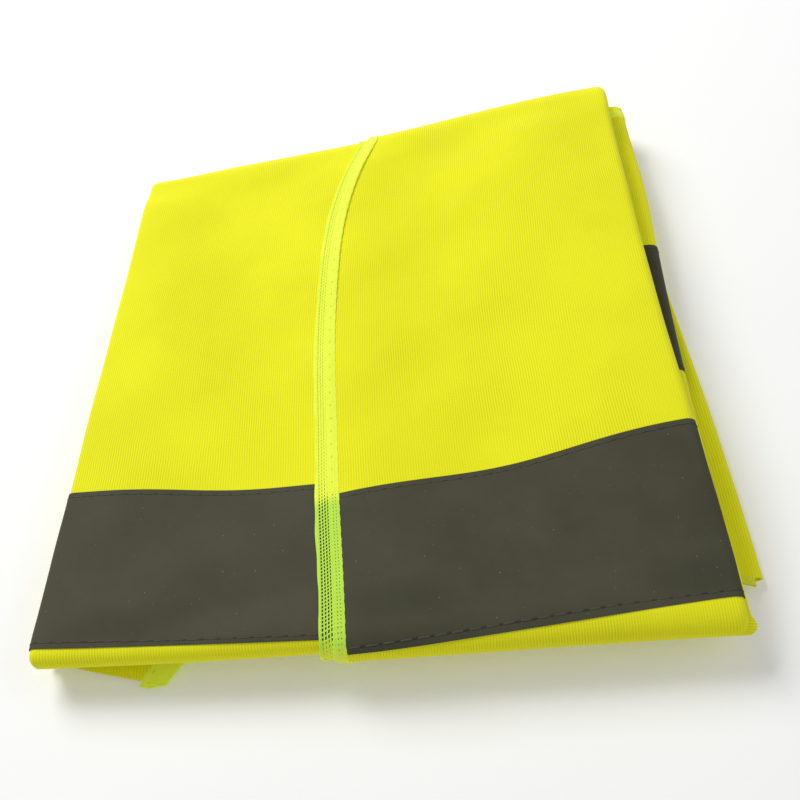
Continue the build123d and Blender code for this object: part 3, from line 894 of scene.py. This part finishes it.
def crinkle(panel, layer, u, v):
    """The crumples of a front's upper tape, as a height from 0 up.

    They fade out towards the left front's binding, on both sides of it.
    """
    if panel is BACK or layer == "lower":
        return np.zeros_like(u)
    wave = np.sin(u / 7.3 + v / 11.0 + 0.8 * np.sin(v / 6.0)) + np.sin(u / 17.0 - v / 8.0 + 1.3)
    from_edge = u + FRONT_EDGE_X - BINDING_WIDTH if panel is LEFT_FRONT else -FRONT_EDGE_X - u
    return CRUMPLE * (wave + 2) * smooth_step(-1, 8, from_edge)


def make_bands():
    """The six reflective tapes and their stitching."""
    for panel in PANELS:
        for layer in BAND_Y:
            spacing = GRID if panel is BACK or layer == "lower" else FINE_GRID
            ends = band_edges(layer)
            u, v = np.meshgrid(band_columns(panel, spacing), even(*ends, spacing))
            low, high = on_outer(panel, TAPE)
            high = high + crinkle(panel, layer, u, v)
            name = f"{panel.name}_{layer}_tape"
            piece = slab(f"{name}_cloth", panel, u, v, low, high)
            dress(piece, name, "body", "reflective_tape")
            make_stitches(panel, layer, ends, f"{name}_stitching")


def make_stitches(panel, layer, ends, node):
    """Two rows of lockstitch along the long edges of a tape, with a needle hole painted dark as its
    shade between two.
    """
    low, high = band_ends(panel)
    rows = (ends[0] + STITCH_INSET, ends[1] - STITCH_INSET)
    along = np.arange(low + STITCH_PITCH, high - STITCH_PITCH, STITCH_PITCH)
    stitches = [(u, v) for v in rows for u in along]
    holes = [(u + STITCH_PITCH / 2, v) for u, v in stitches]
    sizes = [STITCH_SIZE] * len(stitches)
    length, *rest = HOLE_SIZE
    sizes += [(length * (1 + 0.3 * math.sin(3.7 * u)), *rest) for u, _ in holes]
    crinkles = crinkle(panel, layer, *np.array(stitches + holes).T)
    piece = domes(f"{node}_thread", panel, stitches + holes, sizes, TAPE + crinkles, len(stitches))
    dress(piece, node, "body", "thread")


def domes(name, panel, centres, sizes, below, stitches):
    """Small oval domes on a panel's outer face: first the stitches, then the needle holes, painted dark
    as their shade.
    """
    around = np.linspace(0, 2 * math.pi, 8, endpoint=False)
    rings = ((1.0, -0.3), (0.85, 0.6), (0.4, 0.9), (0.0, 1.0))
    vertices, flat, faces = [], [], []
    for i, ((u, v), (length, width, height), base) in enumerate(zip(centres, sizes, below)):
        for share, rise in rings:
            turns = around if share else around[:1]
            ring_u = u + length / 2 * share * np.cos(turns)
            ring_v = v + width / 2 * share * np.sin(turns)
            lift = outer(panel) * (FABRIC / 2 + base + height * rise)
            vertices.append(settled(folded(panel, ring_u, ring_v, np.full(len(turns), lift))))
            flat.append(np.stack([ring_u, ring_v], -1))
        first = i * ((len(rings) - 1) * len(around) + 1)
        faces += dome_faces(first, len(rings) - 1, len(around), outer(panel) < 0)
    points = np.concatenate(vertices)
    # the needle holes' domes are marked, to be painted dark as their shade
    in_hole = np.arange(len(points)) >= len(points) * stitches / len(centres)
    return make_mesh(name, to_row(points), faces, np.concatenate(flat) * MM, in_hole)


def dome_faces(first, rings, around, flipped):
    """The faces of one dome, whose vertices start at first."""
    faces = []
    for ring in range(rings - 1):
        for k in range(around):
            a, b = first + ring * around + k, first + ring * around + (k + 1) % around
            faces.append((a, b, b + around, a + around))
    last = first + (rings - 1) * around
    for k in range(around):
        faces.append((last + k, last + (k + 1) % around, last + around))
    return [face[::-1] for face in faces] if flipped else faces


def strip_profile():
    """(inset, low, high) across a binding: a cord, a thin knit, and a thick sewn side."""
    inset = np.array([0.0, 0.25, 0.8, 2.0, 4.2, 4.8, 5.4, 6.4, 7.0, BINDING_WIDTH])
    return inset, strip_low(inset), strip_high(inset)


def strip_low(inset):
    """The underside of a binding, from its ply's middle surface."""
    places = (0.0, 0.25, 0.8, 1.2, 3.9, 4.8, 7.0, BINDING_WIDTH)
    return np.interp(inset, places, (-0.50, -0.74, -0.76, -0.74, -0.60, -0.32, -0.32, 0.22))


def strip_high(inset):
    """The upper side of a binding, from its ply's middle surface."""
    places = (0.0, 0.25, 0.8, 1.2, 3.6, 4.2, 5.6, 6.8, BINDING_WIDTH)
    return np.interp(inset, places, (-0.42, -0.28, -0.28, -0.56, -0.38, 0.32, 0.50, 0.50, 0.42))


def net_columns():
    """(inset, its way to a hole's middle, which cells are wide or narrow) across an open knit."""
    inset, inward, kinds = [0.0, 0.25, 0.8], [0.0, 0.0, 0.0], [None, None]
    for k in range(NET_COLUMNS):
        kind = "wide" if k < WIDE_NET_COLUMNS else "narrow"
        middle, half = NET_FIRST + k * NET_COLUMN_PITCH, NET_HALF_WIDTH[kind]
        inset += [middle - half, middle + half]
        inward += [half, -half]
        kinds += [None, kind]
    inset += [7.1, BINDING_WIDTH]
    inward += [0.0, 0.0]
    kinds += [None, None]
    return np.array(inset), np.array(inward), np.array(kinds)


def over_tape(v):
    """1 where a front binding lies over the tape of the front below it, and 0 elsewhere."""
    shares = []
    for layer in BAND_Y:
        start, end = band_edges(layer)
        shares.append(smooth_step(start - 1, start + 3, v) * (1 - smooth_step(end - 4, end + 1, v)))
    return sum(shares)


def net_rows(part):
    """(flat positions along a part, which rows of cells are part of a hole)."""
    start, end = STRETCH[part]
    count = round((end - start) / NET_ROW_PITCH)
    steps = np.array([0.0, 0.32, 0.64])  # a row of knit, then the two halves of a wide hole
    rows = (np.arange(count)[:, None] + steps).ravel() * (end - start) / count + start
    in_hole = np.tile([False, True, True], count)
    if part == "shoulder":
        in_hole[-3:] = False
    return np.append(rows, end), in_hole


def make_front_bindings():
    """The open-knit bindings of the two front edges and necklines.

    The knit is stretched open over the tape, and its holes are narrow elsewhere. Along the
    neckline the left binding's sewn side stands a little off the cloth.
    """
    inset, inward, kinds = net_columns()
    slant = NET_SLANT * np.minimum(inset, NET_FIRST + WIDE_NET_COLUMNS * NET_COLUMN_PITCH)
    for way, panel, side in SIDES:
        lift = SEWN_LIFT if panel is LEFT_FRONT else 0.0
        for part in STRETCH:
            along, in_hole = net_rows(part)
            across = inset + inward * NET_CLOSED * (1 - over_tape(along)[:, None])
            across[:, 0] += 0.25 * np.sin(along / 9) + 0.10 * np.sin(along / 2.3)
            across[:, -1] += 0.04 * np.sin(along * 4.1 + 2 * np.sin(along / 3))
            across[:, -1] += 0.06 * np.sin(along * 1.7)
            stands = smooth_step(90, 140, along) * (1 - smooth_step(LENGTH - 8, LENGTH + 4, along))
            off = lift * stands[:, None] * smooth_step(5.0, 7.0, inset)
            low, high = strip_low(inset) + off, strip_high(inset) + off
            u = np.array([[front_inner_x(*zone(v), w) for w in row] for v, row in zip(along, across)])
            v = np.array([drawn_to(value, shoulder_y(np.abs(row))) for value, row in zip(along, u)])
            v = v + slant
            short = in_hole & np.tile([False, True, False], len(in_hole) // 3)
            holes = in_hole[:, None] & (kinds == "wide") | short[:, None] & (kinds == "narrow")
            uv = np.stack([across, along[:, None] + slant], -1)
            name = f"{side}_front_edge_knit_{part}"
            piece = slab(name, panel, way * u, v, low, high, holes=holes, uv=uv, mark=over_tape(v))
            dress(piece, f"{side}_front_edge_binding_{part}", part, "knitted_binding")


def armhole_rows(part, w):
    """The rows (x, v) along the right armhole's binding, at the insets w."""
    if part == "body":
        level = np.linspace(-SEAM_X, -ARMHOLE_X - ARMHOLE_RADIUS, 8)[:-1]
        rows = [(x, LENGTH - ARMHOLE_RADIUS - w) for x in level]
        return rows + [arc_row(turn, w) for turn in np.linspace(0, FOOT_TURN, 24)]
    if part == "shoulder":
        return [shoulder_row(v, w) for v in even(*STRETCH[part], ARMHOLE_STEP)]
    rows = [arc_row(turn, w) for turn in np.linspace(FOOT_TURN, math.pi / 2, 7)[:-1]]
    rows += [(w - ARMHOLE_X, LENGTH + FAR_ARC * t) for t in np.linspace(0, 1, 27)]
    rest = even(LENGTH + FAR_ARC, STRETCH[part][1], ARMHOLE_STEP)[1:]
    return rows + [shoulder_row(v, w) for v in rest]


def arc_row(turn, w):
    """A row across the armhole's foot, from its level stretch at 0 to the far fold."""
    radius = ARMHOLE_RADIUS + w
    x = -ARMHOLE_X - ARMHOLE_RADIUS + radius * math.sin(turn)
    return x, LENGTH - radius * math.cos(turn)


def shoulder_row(v, w):
    """A row across the armhole's binding in the shoulder layer."""
    x = armhole_x(*zone(v), w)
    return x, drawn_to(v, shoulder_y(2 * EDGE - x))


def make_armhole_bindings():
    """The armhole bindings, on a front's and on the back's side third."""
    inset, low, high = strip_profile()
    for way, front, side in SIDES:
        for part in STRETCH:
            name = f"{side}_armhole_knit_{part}"
            strips = []
            rows = armhole_rows(part, inset)
            points = np.array([np.stack(np.broadcast_arrays(*row), -1) for row in rows])
            length = np.cumsum([0, *np.hypot(*np.diff(points[:, 0], axis=0).T)])
            uv = np.stack(np.broadcast_arrays(inset, length[:, None]), -1)
            for panel in (front, BACK):
                u = way * (EDGE + turn_length(panel, way) + EDGE - points[..., 0])
                strips.append(slab(name, panel, u, points[..., 1], low, high, uv=uv))
            piece = joined(name, strips)
            dress(piece, f"{side}_armhole_binding_{part}", part, "knitted_binding")


def make_back_neck_binding():
    """The binding of the back neckline."""
    inset, low, high = strip_profile()
    u = np.linspace(-1, 1, 90)[:, None] * (NECK_HALF_WIDTH + inset)
    y = np.stack([back_neck_y(np.abs(row), w) for row, w in zip(u.T, inset)], -1)
    uv = np.stack(np.broadcast_arrays(inset, u), -1)
    piece = slab("back_neck_knit", BACK, u, 2 * LENGTH + FAR_ARC - y, low, high, uv=uv)
    dress(piece, "back_neck_binding", "shoulder", "knitted_binding")


def make_hem_bindings():
    """The binding along each panel's hem."""
    inset, low, high = strip_profile()
    for panel in PANELS:
        u, v = np.meshgrid(band_columns(panel, GRID), -NEAR_ARC - HEM_Y + inset, indexing="ij")
        uv = np.stack(np.broadcast_arrays(inset, u), -1)
        piece = slab(f"{panel.name}_hem_knit", panel, u, v, low, high, uv=uv)
        dress(piece, f"{panel.name}_hem_binding", "body", "knitted_binding")


def make_seams():
    """The side seams and the shoulder seams."""
    for way, front, side in SIDES:
        sides, shoulders = [], []
        for panel in (front, BACK):
            fold = EDGE + turn_length(panel, way)
            cord = np.linspace(SEAM_X, SEAM_X + SEAM_WIDTH, 5)
            along = even(-NEAR_ARC - HEM_Y, LENGTH - ARMHOLE_RADIUS, OVERLOCK_PITCH / 2)
            v, x = np.meshgrid(along, cord, indexing="ij")
            ripple = 0.34 + 0.06 * np.sin(v * 2 * math.pi / OVERLOCK_PITCH)
            u = way * (fold + EDGE + x)
            sides.append(slab(f"{side}_side_overlock", panel, u, v, -ripple, ripple))
            across = even(EDGE, 2 * EDGE + ARMHOLE_TIP_X, GRID)
            depth = np.linspace(0, SEAM_WIDTH, 5)
            a, d = np.meshgrid(across, depth, indexing="ij")
            v = 2 * LENGTH + FAR_ARC - (shoulder_y(a) - d)
            u = way * (fold + a - EDGE)
            shoulders.append(slab(f"{side}_shoulder_overlock", panel, u, v, -0.36, 0.36))
        dress(joined(f"{side}_side_overlock", sides), f"{side}_side_seam", "body", "overlock_thread")
        piece = joined(f"{side}_shoulder_overlock", shoulders)
        dress(piece, f"{side}_shoulder_seam", "shoulder", "overlock_thread")


def make_closure():
    """The hook and loop patches between the fronts."""
    x = even(-CLOSURE_WIDTH / 2, CLOSURE_WIDTH / 2, 1.5)
    for name, layer, y0 in (("chest", "upper", CHEST_CLOSURE_Y), ("waist", "lower", WAIST_CLOSURE_Y)):
        y = even(y0, y0 + CLOSURE_LENGTH, 1.5)
        u, v = np.meshgrid(x, sorted(band_v(layer, value) for value in y))
        under, over = -FABRIC / 2 - CLOSURE, FABRIC / 2
        for panel, kind, low in ((LEFT_FRONT, "hook", under), (RIGHT_FRONT, "loop", over)):
            piece = slab(f"{name}_{kind}_pile", panel, u, v, low, low + CLOSURE)
            dress(piece, f"{name}_{kind}_patch", "body", f"{kind}_strip")


def make_labels():
    """The care label under the back neck, and the size tag on it."""
    top = BACK_NECK_Y + BINDING_WIDTH
    for name, width, length, below in (
        ("care_label", LABEL_WIDTH, LABEL_LENGTH, 0.0),
        ("size_tag", SIZE_TAG_WIDTH, SIZE_TAG_LENGTH, LABEL),
    ):
        x = even(-width / 2, width / 2, 2)
        y = even(top, top + length, 2)
        u, v = np.meshgrid(x, 2 * LENGTH + FAR_ARC - y[::-1])
        low = FABRIC / 2 + below
        piece = slab(f"{name}_cloth", BACK, u, v, low, low + LABEL)
        dress(piece, name, "shoulder", "label")


# ---------------- camera, light, floor

CAMERA_AT = (16.6, -170.0, 239.6)  # millimetres, in the row's frame
CAMERA_PITCH = 56.6  # degrees below the horizon
CAMERA_YAW = -3.63
CAMERA_ROLL = -6.7
CAMERA_LENS = 37.7
FLOOR_Z = -0.0006  # metres, just under the lowest stitch and binding


def make_camera():
    """The camera at the photograph's viewing angle."""
    pitch, yaw = math.radians(CAMERA_PITCH), math.radians(CAMERA_YAW)
    ahead = Vector((math.sin(yaw) * math.cos(pitch), math.cos(yaw) * math.cos(pitch), -math.sin(pitch)))
    right = Vector((math.cos(yaw), -math.sin(yaw), 0))
    up = right.cross(ahead)
    roll = math.radians(CAMERA_ROLL)
    tilted_right = math.cos(roll) * right + math.sin(roll) * up
    tilted_up = math.cos(roll) * up - math.sin(roll) * right
    data = bpy.data.cameras.new("camera")
    data.lens = CAMERA_LENS
    data.clip_start = 0.01
    camera = placed("camera", data)
    turn = Matrix((tilted_right, tilted_up, -ahead)).transposed().to_4x4()
    camera.matrix_world = Matrix.Translation(Vector(CAMERA_AT) * MM) @ turn
    bpy.context.scene.camera = camera


def make_light(name, at, size, power):
    """A soft square light that looks at the parcel."""
    data = bpy.data.lights.new(name, "AREA")
    data.shape = "SQUARE"
    data.size = size
    data.energy = power
    light = placed(name, data)
    light.location = at
    light.rotation_euler = (-Vector(at)).to_track_quat("-Z", "Y").to_euler()


def make_stage():
    """The pale floor, the soft light and the view's plain colour rendering."""
    mesh = bpy.data.meshes.new("floor")
    half = 4.0
    corners = [(x, y, FLOOR_Z) for x, y in ((-half, -half), (half, -half), (half, half), (-half, half))]
    mesh.from_pydata(corners, [], [(0, 1, 2, 3)])
    mesh.materials.append(floor_material())
    floor = placed("floor", mesh)
    make_light("key", at=(-0.65, 0.70, 0.90), size=0.6, power=12.8)
    make_light("fill", at=(1.2, 0.1, 0.9), size=1.2, power=2.6)
    world = bpy.data.worlds.new("studio")
    world.use_nodes = True
    sky = world.node_tree.nodes["Background"].inputs
    sky["Color"].default_value = (1, 1, 1, 1)
    sky["Strength"].default_value = 0.40
    bpy.context.scene.world = world
    bpy.context.scene.view_settings.view_transform = "Standard"


make_camera()
make_stage()
make_panels()
make_bands()
make_front_bindings()
make_armhole_bindings()
make_back_neck_binding()
make_hem_bindings()
make_seams()
make_closure()
make_labels()
